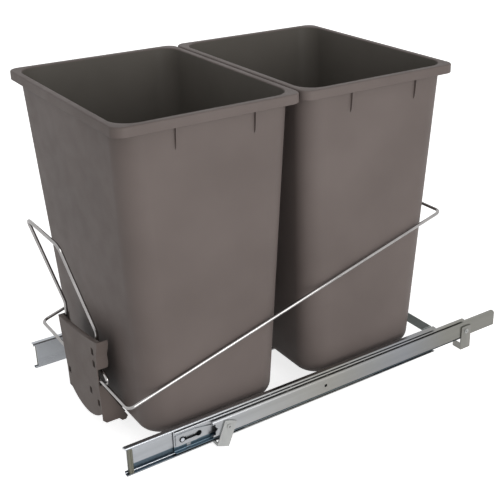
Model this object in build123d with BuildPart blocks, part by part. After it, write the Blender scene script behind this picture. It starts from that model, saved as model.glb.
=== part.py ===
from build123d import *
import math
import os

os.makedirs("parts", exist_ok=True)

# A twin bin pull-out unit: X across, +Y into the cabinet, +Z up, floor at zero.
# It is drawn part way out, as the photograph shows it.

# Bins
rim_side_overhang = 8
rim_end_overhang = 7
rim_gap = 3
rim_skirt = 13
rim_skirt_wall = 2
rim_top_wall = 3
rim_corner = 16
rim_roll = 2.2
rim_inner_roll = 1.2
bin_height = 461.4
bin_wall = 2.2
bin_top_width = 340
bin_top_depth = 250
bin_top_corner = 31
bin_bottom_width = 294
bin_bottom_depth = 211.4
bin_bottom_corner = 38
bin_bottom_round = 19
rib_length = 30
rib_thickness = 2
rib_reach = 5
rib_front_offset = 50
rib_rear_offset = 63
rib_root = 1.2

# Slide rails: three nested channels on each side
rail_length = 550
pulled_out = 130
middle_travel_share = 0.5
outer_cage_travel_share = 0.75
inner_cage_travel_share = 0.25
carriage_lead = 22
rail_centre_z = 34.5
slide_inner_x = 162.6
slide_thickness = 12.7
carriage_rail_height = 45
carriage_rail_depth = 8.5
carriage_sheet = 1.2
carriage_bend = 2
carriage_lip = 1.8
carriage_lip_bend = 1.2
carriage_notch_depth = 4.5
carriage_notch_height = 36
middle_shortfall = 10
middle_setback = 8
middle_sheet = 1
middle_bend = 1.6
middle_lip = 1.5
middle_lip_bend = 0.9
middle_web_gap = 1.3
middle_lip_x = 9.1
cabinet_sheet = 1.2
cabinet_bend = 2.8
cabinet_flange_end = 5.2
ball_clearance = 0.05
outer_ball = 3.5
inner_ball = 3
outer_ball_x = 4.4
inner_ball_x = 5.9
cage_length = 240
cage_setback = 150
cage_sheet = 0.6
cage_web_gap = 0.35
cage_reach = 0.4
cage_window_clearance = 0.12
balls_per_row = 7
cage_end_margin = 12

# Small parts of the slides
latch_length = 57
latch_height = 18
latch_corner = 1.4
latch_tip_height = 10
latch_sheet = 1.2
latch_gap = 0.3
latch_setback = 2.5
latch_slot_width = 6.5
latch_hole_radius = 4.4
latch_hole_pitch = 26
latch_pin_head = 0.5
latch_pin_head_radius = 4.4
latch_pin_button = 0.6
latch_pin_button_radius = 2.8
latch_pin_inset = 10
latch_taper_share = 0.45
latch_clearance = 0.05
window_length = 20
window_height = 5.5
window_setback = 6
stop_tab_setback = 19
stop_tab_length = 6
stop_tab_height = 5
stop_tab_raise = 1
stop_tab_drop = 15
cabinet_notch_depth = 8
cabinet_notch_shoulder = 4
cabinet_notch_height = 17
cabinet_notch_throat = 9
cabinet_hole_radius = 2.5
cabinet_hole_setback = 195
bumper_top_length = 2.5
bumper_middle_length = 5
bumper_bottom_length = 6
bumper_gap = 0.1
bumper_groove = 0.8
bumper_groove_pitch = 1.7
bumper_grooves = 2

# Feet riveted to the cabinet rails
foot_width = 20.5
foot_sheet = 2
foot_top = 8.5
foot_top_rise = 1
foot_pivot_drop = 2
foot_gap = 0.15
foot_flange_reach = 17.5
front_foot_flange = 4
rear_foot_flange = 11
rear_foot_web_top = 20
foot_web_width = 1
front_foot_swing = 22
front_foot_setback = 25
rear_foot_inset = 66
rivet_radius = 2.5
rivet_head_radius = 4
rivet_head = 0.8
rivet_bore = 1.3
rivet_clearance = 0.05

# Wires of the carriage
wire_diameter = 5
weld_gap = 0.15
handle_bin_gap = 22.6
base_wire_drop = 6.75
base_wire_x = 28
base_wire_front_bend = 18
base_wire_rear_bend = 24
base_wire_rear_gap = 13
base_wire_over = 5
bin_seat_gap = 0.35
hoop_front_gap = 0.95
hoop_rear_gap = 4.1
hoop_front_z = 102
hoop_lap = 28
hoop_rear_z = 259
hoop_rear_y = 529
hoop_bend = 9
handle_half = 55
handle_spread = 1
handle_tip_half = 70
handle_tip_z = 94
handle_hook_half = 79
handle_hook_z = 107
handle_hook_bend = 5
handle_jog_z = 116
handle_jog_bend = 8
handle_knee_z = 172
handle_top_z = 312
handle_lean = 38
handle_knee_bend = 30
handle_top_bend = 10

# Plastic front bracket, seen from the front: left and right edges, top and bottom, then depths
bracket_wall = 1.5
bracket_round = 0.7
bracket_left_top = (-65, 149.5)
bracket_left_knee = (-51, 66)
bracket_left_foot = (-50, 38)
bracket_step = 8
bracket_belly = (-8, 26)
bracket_right_foot = (69.5, 51)
bracket_right_waist = (65, 112)
bracket_right_shoulder = (68, 141)
bracket_right_top = (75, 166.5)
bracket_top_sag = (20, 156)
bracket_wall_low_z = 33.5
bracket_wall_tail_z = 28.5
bracket_wall_chamfer = 5
bracket_upper_depth = 16
bracket_wave = 1
bracket_notch_top_z = 119.5
bracket_lower_depth = 37.5
bracket_tail = 9
bracket_tail_slope = 4.5
bracket_rib_x = 34
bracket_rib_height = 46
bracket_rib_depth = 12
bracket_slack = 0.15
bracket_slot_width = 8
bracket_slot_height = 10.5
bracket_slot_round = 1
bracket_slots = [(55.4, 144.5), (56.7, 125.4), (35.1, 72.3), (60, 63.4), (-42.8, 67.1)]

# Flat crossbars
front_crossbar_height = 12
rear_crossbar_height = 17
crossbar_sheet = 1.5
crossbar_tab = 18
front_crossbar_y = 120
rear_crossbar_inset = 2
crossbar_rivet_radius = 2
crossbar_rivet_head = 1
crossbar_rivet_head_radius = 3.4

overrun = 3


def bin_half(bottom, top, z):
    """Half the width or the depth of a tapered bin at a height above the floor."""
    return (bottom + (top - bottom) * (z - bin_bottom_z) / bin_height) / 2


# Places that follow from the sizes above
rim_width = bin_top_width + 2 * rim_side_overhang
rim_depth = bin_top_depth + 2 * rim_end_overhang
wire_radius = wire_diameter / 2
rail_end_y = pulled_out + rail_length - carriage_lead
handle_front_y = -handle_lean - wire_radius
bin_front_y = -(handle_front_y + rail_end_y) / 2
carriage_front = bin_front_y - carriage_lead
carriage_rear = carriage_front + rail_length
cabinet_front = carriage_front + pulled_out
cabinet_rear = cabinet_front + rail_length
middle_front = carriage_front + pulled_out * (1 - middle_travel_share) + middle_setback
outer_cage_front = carriage_front + pulled_out * (1 - outer_cage_travel_share) + cage_setback
inner_cage_front = carriage_front + pulled_out * (1 - inner_cage_travel_share) + cage_setback
bin_pitch = rim_depth + rim_gap
base_wire_z = rail_centre_z - base_wire_drop
bin_bottom_z = base_wire_z + wire_radius + bin_seat_gap
rim_top_z = bin_bottom_z + bin_height
slide_outer_x = slide_inner_x + slide_thickness
foot_pivot_z = rail_centre_z - foot_pivot_drop
middle_rail_length = rail_length - middle_shortfall
hoop_front_half = bin_half(bin_bottom_width, bin_top_width, hoop_front_z) + hoop_front_gap + wire_radius
hoop_rear_half = bin_half(bin_bottom_width, bin_top_width, hoop_rear_z) + hoop_rear_gap + wire_radius
bin_wall_y = bin_front_y + rim_depth / 2 - bin_half(bin_bottom_depth, bin_top_depth, hoop_front_z)
hook_y = bin_wall_y - handle_bin_gap
hoop_front_y = hook_y - wire_diameter - weld_gap
hoop_lap_z = hoop_front_z - wire_diameter - weld_gap
bracket_face_y = hoop_front_y - wire_radius - bracket_slack - bracket_wall
latch_pin_y = middle_front + latch_setback + latch_pin_inset
latch_plate_x = middle_sheet + latch_gap
ball_pitch = (cage_length - 2 * cage_end_margin) / (balls_per_row - 1)
sides = {"right": 1, "left": -1}

# Half heights of the nested channels, from the largest inwards
carriage_half = carriage_rail_height / 2
outer_ball_z = carriage_half - carriage_sheet - ball_clearance - outer_ball / 2
middle_half = outer_ball_z - outer_ball / 2 - ball_clearance
inner_ball_z = middle_half - middle_sheet - ball_clearance - inner_ball / 2
cabinet_half = inner_ball_z - inner_ball / 2 - ball_clearance
middle_web_x = carriage_sheet + middle_web_gap
inner_cage_x = middle_web_x + middle_sheet + cage_web_gap
outer_cage_x = carriage_sheet + cage_web_gap


def save(part, name):
    part.label = name
    export_step(part, "parts/" + name + ".step")


def section_plane(side, y):
    """A plane across one slide: local X runs outwards from its inner face, local Y runs up."""
    return Plane(origin=(side * slide_inner_x, y, rail_centre_z), x_dir=(side, 0, 0), z_dir=(0, -side, 0))


def web_plane(side, x_from_inner, y):
    """A plane on the outer side of a web: local X runs into the cabinet, local Y runs up."""
    return Plane(origin=(side * (slide_inner_x + x_from_inner), y, rail_centre_z), x_dir=(0, 1, 0), z_dir=(1, 0, 0))


def rolled_channel(half, web_x, lip_x, sheet, lip):
    """Centre line of a channel that opens outwards and ends in inturned lips."""
    web = web_x + sheet / 2
    flange = half - sheet / 2
    tip = lip_x - sheet / 2
    return [
        (tip, flange - lip),
        (tip, flange),
        (web, flange),
        (web, -flange),
        (tip, -flange),
        (tip, -flange + lip),
    ]


# Bins
def make_bin(front_y):
    middle_y = front_y + rim_depth / 2
    base = Plane(origin=(0, middle_y, bin_bottom_z))
    top = base.offset(bin_height)
    with BuildPart() as bin_part:
        with BuildSketch(base):
            RectangleRounded(bin_bottom_width, bin_bottom_depth, bin_bottom_corner)
        with BuildSketch(top):
            RectangleRounded(bin_top_width, bin_top_depth, bin_top_corner)
        loft()
        fillet(bin_part.faces().sort_by(Axis.Z)[0].edges(), bin_bottom_round)
        with BuildSketch(top):
            RectangleRounded(rim_width, rim_depth, rim_corner)
        extrude(amount=-rim_top_wall)
        fillet(bin_part.faces().sort_by(Axis.Z)[-1].edges(), rim_roll)
        with BuildSketch(top.offset(-rim_top_wall)):
            RectangleRounded(rim_width, rim_depth, rim_corner)
            offset(amount=-rim_skirt_wall, mode=Mode.SUBTRACT)
        extrude(amount=-(rim_skirt - rim_top_wall))
        rib_top = rim_top_z - rim_top_wall
        rib_bottom = rim_top_z - rim_skirt - rib_length
        rib_out = bin_top_width / 2 + rib_reach
        for rib_y in (middle_y - rib_front_offset, middle_y + rib_rear_offset):
            for side in sides.values():
                lean = (bin_top_width - bin_bottom_width) / 2 / bin_height
                root_top = bin_top_width / 2 - lean * (rim_top_z - rib_top) - rib_root
                root_bottom = bin_top_width / 2 - lean * (rim_top_z - rib_bottom) - rib_root
                with BuildSketch(Plane(origin=(0, rib_y, 0), x_dir=(1, 0, 0), z_dir=(0, -1, 0))):
                    Polygon(
                        (side * root_top, rib_top),
                        (side * rib_out, rib_top),
                        (side * (root_bottom + rib_root + rib_reach / 2), rib_bottom),
                        (side * root_bottom, rib_bottom),
                        align=None,
                    )
                extrude(amount=rib_thickness / 2, both=True)
        with BuildPart(mode=Mode.PRIVATE) as hollow:
            with BuildSketch(base.offset(bin_wall)):
                RectangleRounded(bin_bottom_width, bin_bottom_depth, bin_bottom_corner)
                offset(amount=-bin_wall, mode=Mode.REPLACE)
            with BuildSketch(top):
                RectangleRounded(bin_top_width, bin_top_depth, bin_top_corner)
                offset(amount=-bin_wall, mode=Mode.REPLACE)
            loft()
            fillet(hollow.faces().sort_by(Axis.Z)[0].edges(), bin_bottom_round - bin_wall)
        add(hollow.part, mode=Mode.SUBTRACT)
        mouth = bin_part.edges().filter_by_position(Axis.Z, rim_top_z, rim_top_z)
        fillet(mouth, rim_inner_roll)
    return bin_part.part


save(make_bin(bin_front_y), "front_bin")
save(make_bin(bin_front_y + bin_pitch), "rear_bin")


# Slide rails
def make_carriage_rail(side):
    with BuildPart() as rail:
        with BuildSketch(section_plane(side, carriage_front)):
            path = rolled_channel(carriage_half, 0, carriage_rail_depth, carriage_sheet, carriage_lip)
            with BuildLine():
                FilletPolyline(*path, radius=[carriage_lip_bend, carriage_bend, carriage_bend, carriage_lip_bend])
            trace(line_width=carriage_sheet)
        extrude(amount=-side * rail_length)
        with BuildSketch(web_plane(side, 0, carriage_front)):
            Rectangle(2 * carriage_notch_depth, carriage_notch_height)
        extrude(amount=side * carriage_sheet, mode=Mode.SUBTRACT)
        for y, z in crossbar_rivet_places():
            with BuildSketch(Plane(origin=(side * slide_inner_x, y, z), x_dir=(0, 1, 0), z_dir=(1, 0, 0))):
                Circle(crossbar_rivet_radius + rivet_clearance)
            extrude(amount=side * carriage_sheet, mode=Mode.SUBTRACT)
    return rail.part


def make_middle_rail(side):
    with BuildPart() as rail:
        with BuildSketch(section_plane(side, middle_front)):
            path = rolled_channel(middle_half, middle_web_x, middle_lip_x, middle_sheet, middle_lip)
            with BuildLine():
                FilletPolyline(*path, radius=[middle_lip_bend, middle_bend, middle_bend, middle_lip_bend])
            trace(line_width=middle_sheet)
        extrude(amount=-side * middle_rail_length)
        with BuildSketch(web_plane(side, middle_web_x, latch_pin_y)):
            Circle(latch_slot_width / 2)
            with Locations((window_setback + window_length / 2, 0)):
                SlotOverall(window_length, window_height)
        extrude(amount=side * middle_sheet, mode=Mode.SUBTRACT)
        with BuildSketch(web_plane(side, middle_web_x + middle_sheet, middle_front)):
            with Locations((stop_tab_setback + stop_tab_length / 2, stop_tab_height / 2 - stop_tab_drop)):
                Rectangle(stop_tab_length, stop_tab_height)
        extrude(amount=side * stop_tab_raise)
    return rail.part


def make_cabinet_rail(side):
    web = slide_thickness - cabinet_sheet / 2
    flange = cabinet_half - cabinet_sheet / 2
    with BuildPart() as rail:
        with BuildSketch(section_plane(side, cabinet_front)):
            path = [(cabinet_flange_end, flange), (web, flange), (web, -flange), (cabinet_flange_end, -flange)]
            with BuildLine():
                FilletPolyline(*path, radius=cabinet_bend)
            trace(line_width=cabinet_sheet)
        extrude(amount=-side * rail_length)
        web_face = slide_thickness - cabinet_sheet
        with BuildSketch(web_plane(side, web_face, cabinet_front)):
            with BuildLine():
                Polyline(
                    (-overrun, cabinet_notch_height / 2),
                    (cabinet_notch_shoulder, cabinet_notch_height / 2),
                    (cabinet_notch_shoulder, cabinet_notch_throat / 2),
                    (cabinet_notch_depth, 0),
                    (cabinet_notch_shoulder, -cabinet_notch_throat / 2),
                    (cabinet_notch_shoulder, -cabinet_notch_height / 2),
                    (-overrun, -cabinet_notch_height / 2),
                    (-overrun, cabinet_notch_height / 2),
                )
            make_face()
        extrude(amount=side * cabinet_sheet, mode=Mode.SUBTRACT)
        for y in foot_y.values():
            with BuildSketch(web_plane(side, web_face, y)):
                with Locations((0, -foot_pivot_drop)):
                    Circle(rivet_radius + rivet_clearance)
            extrude(amount=side * cabinet_sheet, mode=Mode.SUBTRACT)
        with BuildSketch(web_plane(side, web_face, cabinet_front + cabinet_hole_setback)):
            Circle(cabinet_hole_radius)
        extrude(amount=side * cabinet_sheet, mode=Mode.SUBTRACT)
    return rail.part


def crossbar_rivet_places():
    """Where rivets pin the crossbar tabs to the carriage rails, as (y, z)."""
    tab_reach = crossbar_sheet + crossbar_tab
    return [
        (front_bar_y + tab_reach / 2, front_bar_z),
        (rear_bar_y - tab_reach / 2, rear_bar_z),
    ]


front_bar_y = bin_front_y + front_crossbar_y
front_bar_z = base_wire_z - wire_radius - weld_gap - front_crossbar_height / 2
rear_bar_y = carriage_rear - rear_crossbar_inset
rear_bar_z = rail_centre_z + carriage_half - rear_crossbar_height / 2
foot_y = {
    "front": cabinet_front + front_foot_setback,
    "rear": cabinet_rear - rear_foot_inset,
}
# The front feet are as long as lets their corners swing past the floor
front_foot_drop = math.sqrt(foot_pivot_z ** 2 - (foot_width / 2) ** 2)


# Ball cages and balls: one strip web with an ear along the top and the bottom row
def ball_rows(front):
    return [front + cage_end_margin + n * ball_pitch for n in range(balls_per_row)]


def make_cage(side, web_x, front, ball_x, ball_z, ball):
    ear_end = ball_x + ball / 2 + cage_reach
    web = web_x + cage_sheet / 2
    with BuildPart() as cage:
        with BuildSketch(section_plane(side, front)):
            with BuildLine():
                Polyline((ear_end, ball_z), (web, ball_z), (web, -ball_z), (ear_end, -ball_z))
            trace(line_width=cage_sheet)
        extrude(amount=-side * cage_length)
        for row_z in (ball_z, -ball_z):
            for y in ball_rows(front):
                with BuildSketch(Plane(origin=(side * (slide_inner_x + ball_x), y, rail_centre_z + row_z))):
                    Circle(ball / 2 + cage_window_clearance)
                extrude(amount=cage_sheet, both=True, mode=Mode.SUBTRACT)
    return cage.part


def make_balls(side, front, ball_x, ball_z, ball):
    places = [
        (side * (slide_inner_x + ball_x), y, rail_centre_z + row_z)
        for row_z in (ball_z, -ball_z)
        for y in ball_rows(front)
    ]
    with BuildPart() as balls:
        with Locations(*places):
            Sphere(ball / 2)
    return balls.part


# Latch lever that rides in the front of each middle rail
def make_latch(side):
    with BuildPart() as latch:
        with BuildSketch(web_plane(side, middle_web_x + latch_plate_x, latch_pin_y)):
            with BuildLine():
                nose = -latch_pin_inset
                tail = latch_length - latch_pin_inset
                half = latch_height / 2
                Polyline(
                    (nose, half),
                    (tail * latch_taper_share, half),
                    (tail, latch_tip_height / 2),
                    (tail, -latch_tip_height / 2),
                    (tail * latch_taper_share, -half),
                    (nose, -half),
                    (nose, half),
                )
            make_face()
            fillet(vertices(), latch_corner)
            with Locations((latch_hole_pitch / 2, 0)):
                SlotCenterToCenter(latch_hole_pitch, latch_slot_width, mode=Mode.SUBTRACT)
            with Locations((latch_hole_pitch, 0)):
                Circle(latch_hole_radius, mode=Mode.SUBTRACT)
        extrude(amount=side * latch_sheet)
    return latch.part


def make_latch_pin(side):
    """A shouldered stud: shank through web and lever, a flat head and a small button on it."""
    shank = latch_plate_x + latch_sheet + latch_gap / 2
    shank_radius = latch_slot_width / 2 - latch_clearance
    with BuildPart() as pin:
        for start, radius, length in [
            (0, shank_radius, shank),
            (shank, latch_pin_head_radius, latch_pin_head),
            (shank + latch_pin_head, latch_pin_button_radius, latch_pin_button),
        ]:
            with BuildSketch(web_plane(side, middle_web_x + start, latch_pin_y)):
                Circle(radius)
            extrude(amount=side * length)
    return pin.part


# Moulded bumper in the mouth of each carriage rail, its rear edge curved
def make_bumper(side):
    width = carriage_rail_depth - 2 * carriage_sheet - 2 * bumper_gap
    half = carriage_half - carriage_sheet - bumper_gap
    front = carriage_notch_depth
    inner_x = carriage_sheet + bumper_gap
    with BuildPart() as bumper:
        with BuildSketch(web_plane(side, inner_x, carriage_front)):
            with BuildLine():
                Polyline((front + bumper_bottom_length, -half), (front, -half), (front, half),
                         (front + bumper_top_length, half))
                ThreePointArc((front + bumper_top_length, half), (front + bumper_middle_length, 0),
                              (front + bumper_bottom_length, -half))
            make_face()
        extrude(amount=side * width)
        fillet(bumper.edges().filter_by(Axis.Y), carriage_bend)
        with BuildSketch(web_plane(side, inner_x + width, carriage_front + front)):
            for groove in range(bumper_grooves):
                with Locations(((groove + 1) * bumper_groove_pitch - bumper_groove / 2, 0)):
                    Rectangle(bumper_groove, 2 * (half - carriage_bend))
        extrude(amount=-side * bumper_groove, mode=Mode.SUBTRACT)
    return bumper.part


# Feet: a plate on the outer face of the cabinet rail, with a flange turned in below the rails
def foot_plane(side, y, swing):
    turn = math.radians(swing)
    x = slide_outer_x + foot_gap if side > 0 else -slide_outer_x - foot_gap
    return Plane(origin=(x, y, foot_pivot_z), x_dir=(0, math.cos(turn), -math.sin(turn)), z_dir=(1, 0, 0))


def make_foot(side, y, swing, drop, flange):
    half = foot_width / 2
    plane = foot_plane(side, y, swing)
    with BuildPart() as foot:
        with BuildSketch(plane):
            with BuildLine():
                Polyline((half, foot_top), (half, -drop), (-half, -drop), (-half, foot_top))
                ThreePointArc((-half, foot_top), (0, foot_top + foot_top_rise), (half, foot_top))
            make_face()
            Circle(rivet_radius + rivet_clearance, mode=Mode.SUBTRACT)
        extrude(amount=side * foot_sheet)
        with BuildSketch(plane):
            with Locations((-half + foot_sheet / 2, -drop + flange / 2)):
                Rectangle(foot_sheet, flange)
        extrude(amount=-side * foot_flange_reach)
        if flange == rear_foot_flange:
            with BuildSketch(plane):
                with Locations((-half + foot_sheet / 2, -drop + rear_foot_web_top / 2)):
                    Rectangle(foot_sheet, rear_foot_web_top)
            extrude(amount=-side * foot_web_width)
    return foot.part


def make_foot_rivets(side):
    """Semi-tubular rivets, one for each foot of this side."""
    inner_x = slide_thickness - cabinet_sheet
    shank = cabinet_sheet + foot_gap + foot_sheet + foot_gap
    with BuildPart() as rivets:
        for y in foot_y.values():
            for start, radius, length in [
                (inner_x - rivet_head, rivet_head_radius, rivet_head - rivet_clearance),
                (inner_x - rivet_head, rivet_radius, rivet_head + shank),
                (inner_x + shank, rivet_head_radius, rivet_head),
            ]:
                with BuildSketch(web_plane(side, start, y)):
                    with Locations((0, -foot_pivot_drop)):
                        Circle(radius)
                extrude(amount=side * length)
            with BuildSketch(web_plane(side, inner_x + shank + rivet_head, y)):
                with Locations((0, -foot_pivot_drop)):
                    Circle(rivet_bore)
            extrude(amount=-side * (rivet_head + foot_sheet), mode=Mode.SUBTRACT)
    return rivets.part


for side_name, side in sides.items():
    save(make_cabinet_rail(side), "cabinet_rail_" + side_name)
    save(make_middle_rail(side), "middle_rail_" + side_name)
    save(make_carriage_rail(side), "carriage_rail_" + side_name)
    save(make_cage(side, outer_cage_x, outer_cage_front, outer_ball_x, outer_ball_z, outer_ball),
         "outer_ball_cage_" + side_name)
    save(make_cage(side, inner_cage_x, inner_cage_front, inner_ball_x, inner_ball_z, inner_ball),
         "inner_ball_cage_" + side_name)
    save(make_balls(side, outer_cage_front, outer_ball_x, outer_ball_z, outer_ball), "outer_balls_" + side_name)
    save(make_balls(side, inner_cage_front, inner_ball_x, inner_ball_z, inner_ball), "inner_balls_" + side_name)
    save(make_latch(side), "latch_lever_" + side_name)
    save(make_latch_pin(side), "latch_pin_" + side_name)
    save(make_bumper(side), "end_bumper_" + side_name)
    save(make_foot(side, foot_y["front"], front_foot_swing, front_foot_drop, front_foot_flange),
         "front_foot_" + side_name)
    save(make_foot(side, foot_y["rear"], 0, foot_pivot_z, rear_foot_flange), "rear_foot_" + side_name)
    save(make_foot_rivets(side), "foot_rivets_" + side_name)


# Crossbars: flat strips on edge, with their ends turned along the rails
def make_crossbar(y, z, height, tab_direction):
    half = slide_inner_x
    bottom = Plane.XY.offset(z - height / 2)
    back = y + tab_direction * (crossbar_sheet + crossbar_tab)
    with BuildPart() as bar:
        with BuildSketch(bottom):
            with BuildLine():
                Polyline(
                    (-half, back),
                    (-half, y),
                    (half, y),
                    (half, back),
                    (half - crossbar_sheet, back),
                    (half - crossbar_sheet, y + tab_direction * crossbar_sheet),
                    (crossbar_sheet - half, y + tab_direction * crossbar_sheet),
                    (crossbar_sheet - half, back),
                    (-half, back),
                )
            make_face()
        extrude(amount=height)
        middle = y + tab_direction * (crossbar_sheet + crossbar_tab) / 2
        for side in sides.values():
            with BuildSketch(Plane(origin=(side * half, middle, z), x_dir=(0, 1, 0), z_dir=(1, 0, 0))):
                Circle(crossbar_rivet_radius + rivet_clearance)
            extrude(amount=-side * crossbar_sheet, mode=Mode.SUBTRACT)
    return bar.part


def make_crossbar_rivets():
    with BuildPart() as rivets:
        for side in sides.values():
            for y, z in crossbar_rivet_places():
                tab_x = side * (slide_inner_x - crossbar_sheet)
                with BuildSketch(Plane(origin=(tab_x, y, z), x_dir=(0, 1, 0), z_dir=(1, 0, 0))):
                    Circle(crossbar_rivet_radius)
                extrude(amount=side * (crossbar_sheet + carriage_sheet))
                with BuildSketch(Plane(origin=(tab_x, y, z), x_dir=(0, 1, 0), z_dir=(1, 0, 0))):
                    Circle(crossbar_rivet_head_radius)
                extrude(amount=-side * crossbar_rivet_head)
    return rivets.part


save(make_crossbar(front_bar_y, front_bar_z, front_crossbar_height, 1), "front_crossbar")
save(make_crossbar(rear_bar_y, rear_bar_z, rear_crossbar_height, -1), "rear_crossbar")
save(make_crossbar_rivets(), "crossbar_rivets")


# Wires
def bent_wire(points, bends):
    with BuildPart() as wire:
        with BuildLine():
            run = FilletPolyline(*points, radius=bends)
        with BuildSketch(Plane(origin=run @ 0, z_dir=run % 0)):
            Circle(wire_radius)
        sweep()
    return wire.part


def make_hoop():
    """A ring whose two ends lap, one above the other, behind the front bracket."""
    rear_y = bin_front_y + hoop_rear_y
    points = [
        (-hoop_lap, hoop_front_y, hoop_front_z),
        (hoop_front_half, hoop_front_y, hoop_front_z),
        (hoop_rear_half, rear_y, hoop_rear_z),
        (-hoop_rear_half, rear_y, hoop_rear_z),
        (-hoop_front_half, hoop_front_y, hoop_lap_z),
        (hoop_lap, hoop_front_y, hoop_lap_z),
    ]
    return bent_wire(points, hoop_bend)


def make_handle():
    top_y = bin_front_y - handle_lean
    leg = [
        (handle_tip_half, hook_y, handle_tip_z),
        (handle_hook_half, hook_y, handle_hook_z),
        (handle_half, hook_y, handle_jog_z),
        (handle_half, hook_y, handle_knee_z),
        (handle_half + handle_spread, top_y, handle_top_z),
    ]
    left_leg = [(-x, y, z) for x, y, z in leg[::-1]]
    leg_bends = [handle_hook_bend, handle_jog_bend, handle_knee_bend, handle_top_bend]
    return bent_wire(leg + left_leg, leg_bends + leg_bends[::-1])


def make_base_wire(side):
    rear_hook_y = bin_front_y + hoop_rear_y - wire_diameter - weld_gap
    points = [
        (side * base_wire_x, hook_y, hoop_front_z + base_wire_over),
        (side * base_wire_x, hook_y, base_wire_z),
        (side * base_wire_x, carriage_rear - base_wire_rear_gap, base_wire_z),
        (side * base_wire_x, rear_hook_y, hoop_rear_z + base_wire_over),
    ]
    return bent_wire(points, [base_wire_front_bend, base_wire_rear_bend])


save(make_hoop(), "hoop_wire")
save(make_handle(), "handle_wire")
for side_name, side in sides.items():
    save(make_base_wire(side), "base_wire_" + side_name)


# Front bracket: an open-backed moulding that the door is screwed to
def side_strip(edge, side):
    """Corners of a wall that follows one edge of the bracket, seen from the front."""
    inner = [(x - side * bracket_wall, z) for x, z in edge]
    return edge + inner[::-1]


def make_bracket():
    face = Plane(origin=(0, bracket_face_y, 0), x_dir=(1, 0, 0), z_dir=(0, -1, 0))
    lip_depth = hook_y - wire_radius - bracket_slack - bracket_face_y
    step_corner = (bracket_left_foot[0] + bracket_step, bracket_left_foot[1])
    right_edge = [bracket_right_top, bracket_right_shoulder, bracket_right_waist, bracket_right_foot]
    left_edge = [bracket_left_top, bracket_left_knee, bracket_left_foot]
    with BuildPart() as bracket:
        with BuildSketch(face) as outline:
            with BuildLine():
                ThreePointArc(bracket_left_top, bracket_top_sag, bracket_right_top)
                Polyline(*right_edge)
                ThreePointArc(bracket_right_foot, bracket_belly, step_corner)
                Polyline(step_corner, *left_edge[::-1])
            make_face()
        extrude(amount=-lip_depth)
        with BuildSketch(face.offset(-bracket_wall)):
            add(outline.sketch.faces())
            offset(amount=-bracket_wall, mode=Mode.REPLACE)
        extrude(amount=-lip_depth, mode=Mode.SUBTRACT)
        front_edges = bracket.faces().sort_by(Axis.Y)[0].outer_wire().edges()
        fillet(front_edges.sort_by(SortBy.LENGTH)[-2:], bracket_round)
        notch_low_z = hoop_lap_z - wire_radius - bracket_slack
        with BuildPart(mode=Mode.PRIVATE) as walls:
            for side, edge, lowest in [(1, right_edge, bracket_right_foot), (-1, left_edge, bracket_left_foot)]:
                with BuildSketch(face):
                    Polygon(*side_strip(edge + [(lowest[0], bracket_wall_tail_z)], side), align=None)
                extrude(amount=-bracket_lower_depth)
            with BuildSketch(Plane(origin=(0, bracket_face_y, 0), x_dir=(0, 1, 0), z_dir=(1, 0, 0))):
                with BuildLine():
                    upper = bracket_upper_depth
                    shoulder_z = bracket_right_shoulder[1]
                    Polyline((upper, bracket_notch_top_z), (0, bracket_notch_top_z),
                             (0, bracket_right_top[1]), (upper, bracket_right_top[1]))
                    Spline(
                        (upper, bracket_right_top[1]),
                        (upper + bracket_wave, (bracket_right_top[1] + shoulder_z) / 2),
                        (upper, shoulder_z),
                        (upper + bracket_wave, (shoulder_z + bracket_notch_top_z) / 2),
                        (upper, bracket_notch_top_z),
                    )
                make_face()
                Polygon(
                    (0, notch_low_z),
                    (bracket_wall_chamfer, notch_low_z),
                    (bracket_lower_depth, bracket_wall_low_z),
                    (bracket_lower_depth - bracket_tail / 3, bracket_wall_tail_z),
                    (bracket_lower_depth - bracket_tail, bracket_wall_tail_z),
                    (bracket_lower_depth - bracket_tail - bracket_tail_slope, bracket_wall_low_z),
                    (bracket_wall_chamfer, bracket_wall_low_z),
                    (0, bracket_wall_low_z + bracket_wall_chamfer),
                    align=None,
                )
            extrude(amount=2 * bracket_right_top[0], both=True, mode=Mode.INTERSECT)
        add(walls.part)
        for x in (-bracket_rib_x, bracket_rib_x):
            with BuildSketch(face.offset(-bracket_wall)):
                with Locations((x, hoop_front_z)):
                    Rectangle(bracket_wall, bracket_rib_height)
            extrude(amount=-(bracket_rib_depth - bracket_wall))
        with BuildSketch(face.offset(-bracket_wall)):
            middle_z = (notch_low_z + bracket_notch_top_z) / 2
            with Locations((0, middle_z)):
                Rectangle(4 * bracket_right_top[0], bracket_notch_top_z - notch_low_z)
        extrude(amount=-bracket_lower_depth, mode=Mode.SUBTRACT)
        with BuildSketch(face):
            with Locations(*bracket_slots):
                RectangleRounded(bracket_slot_width, bracket_slot_height, bracket_slot_round)
        extrude(amount=-bracket_wall, mode=Mode.SUBTRACT)
    return bracket.part


save(make_bracket(), "front_bracket")
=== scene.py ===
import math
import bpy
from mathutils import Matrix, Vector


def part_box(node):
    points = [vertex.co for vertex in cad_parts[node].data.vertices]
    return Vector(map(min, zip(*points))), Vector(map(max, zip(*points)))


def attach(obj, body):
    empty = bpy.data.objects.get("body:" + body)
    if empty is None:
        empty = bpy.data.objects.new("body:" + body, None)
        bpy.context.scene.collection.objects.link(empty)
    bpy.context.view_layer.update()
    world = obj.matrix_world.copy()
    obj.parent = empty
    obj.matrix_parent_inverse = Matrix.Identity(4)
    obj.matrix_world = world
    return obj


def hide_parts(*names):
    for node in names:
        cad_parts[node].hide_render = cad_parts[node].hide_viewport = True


bl_info = {
    "name": "Pull-out bin frame dressing",
    "version": (1, 0, 0),
    "blender": (4, 5, 0),
    "location": "3D View > Sidebar > Bin frame",
    "description": "Builds the visible pieces of a pull-out bin frame round its packed CAD frame",
    "category": "Object",
}

import bmesh
import bpy
from mathutils import Matrix, Vector

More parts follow.
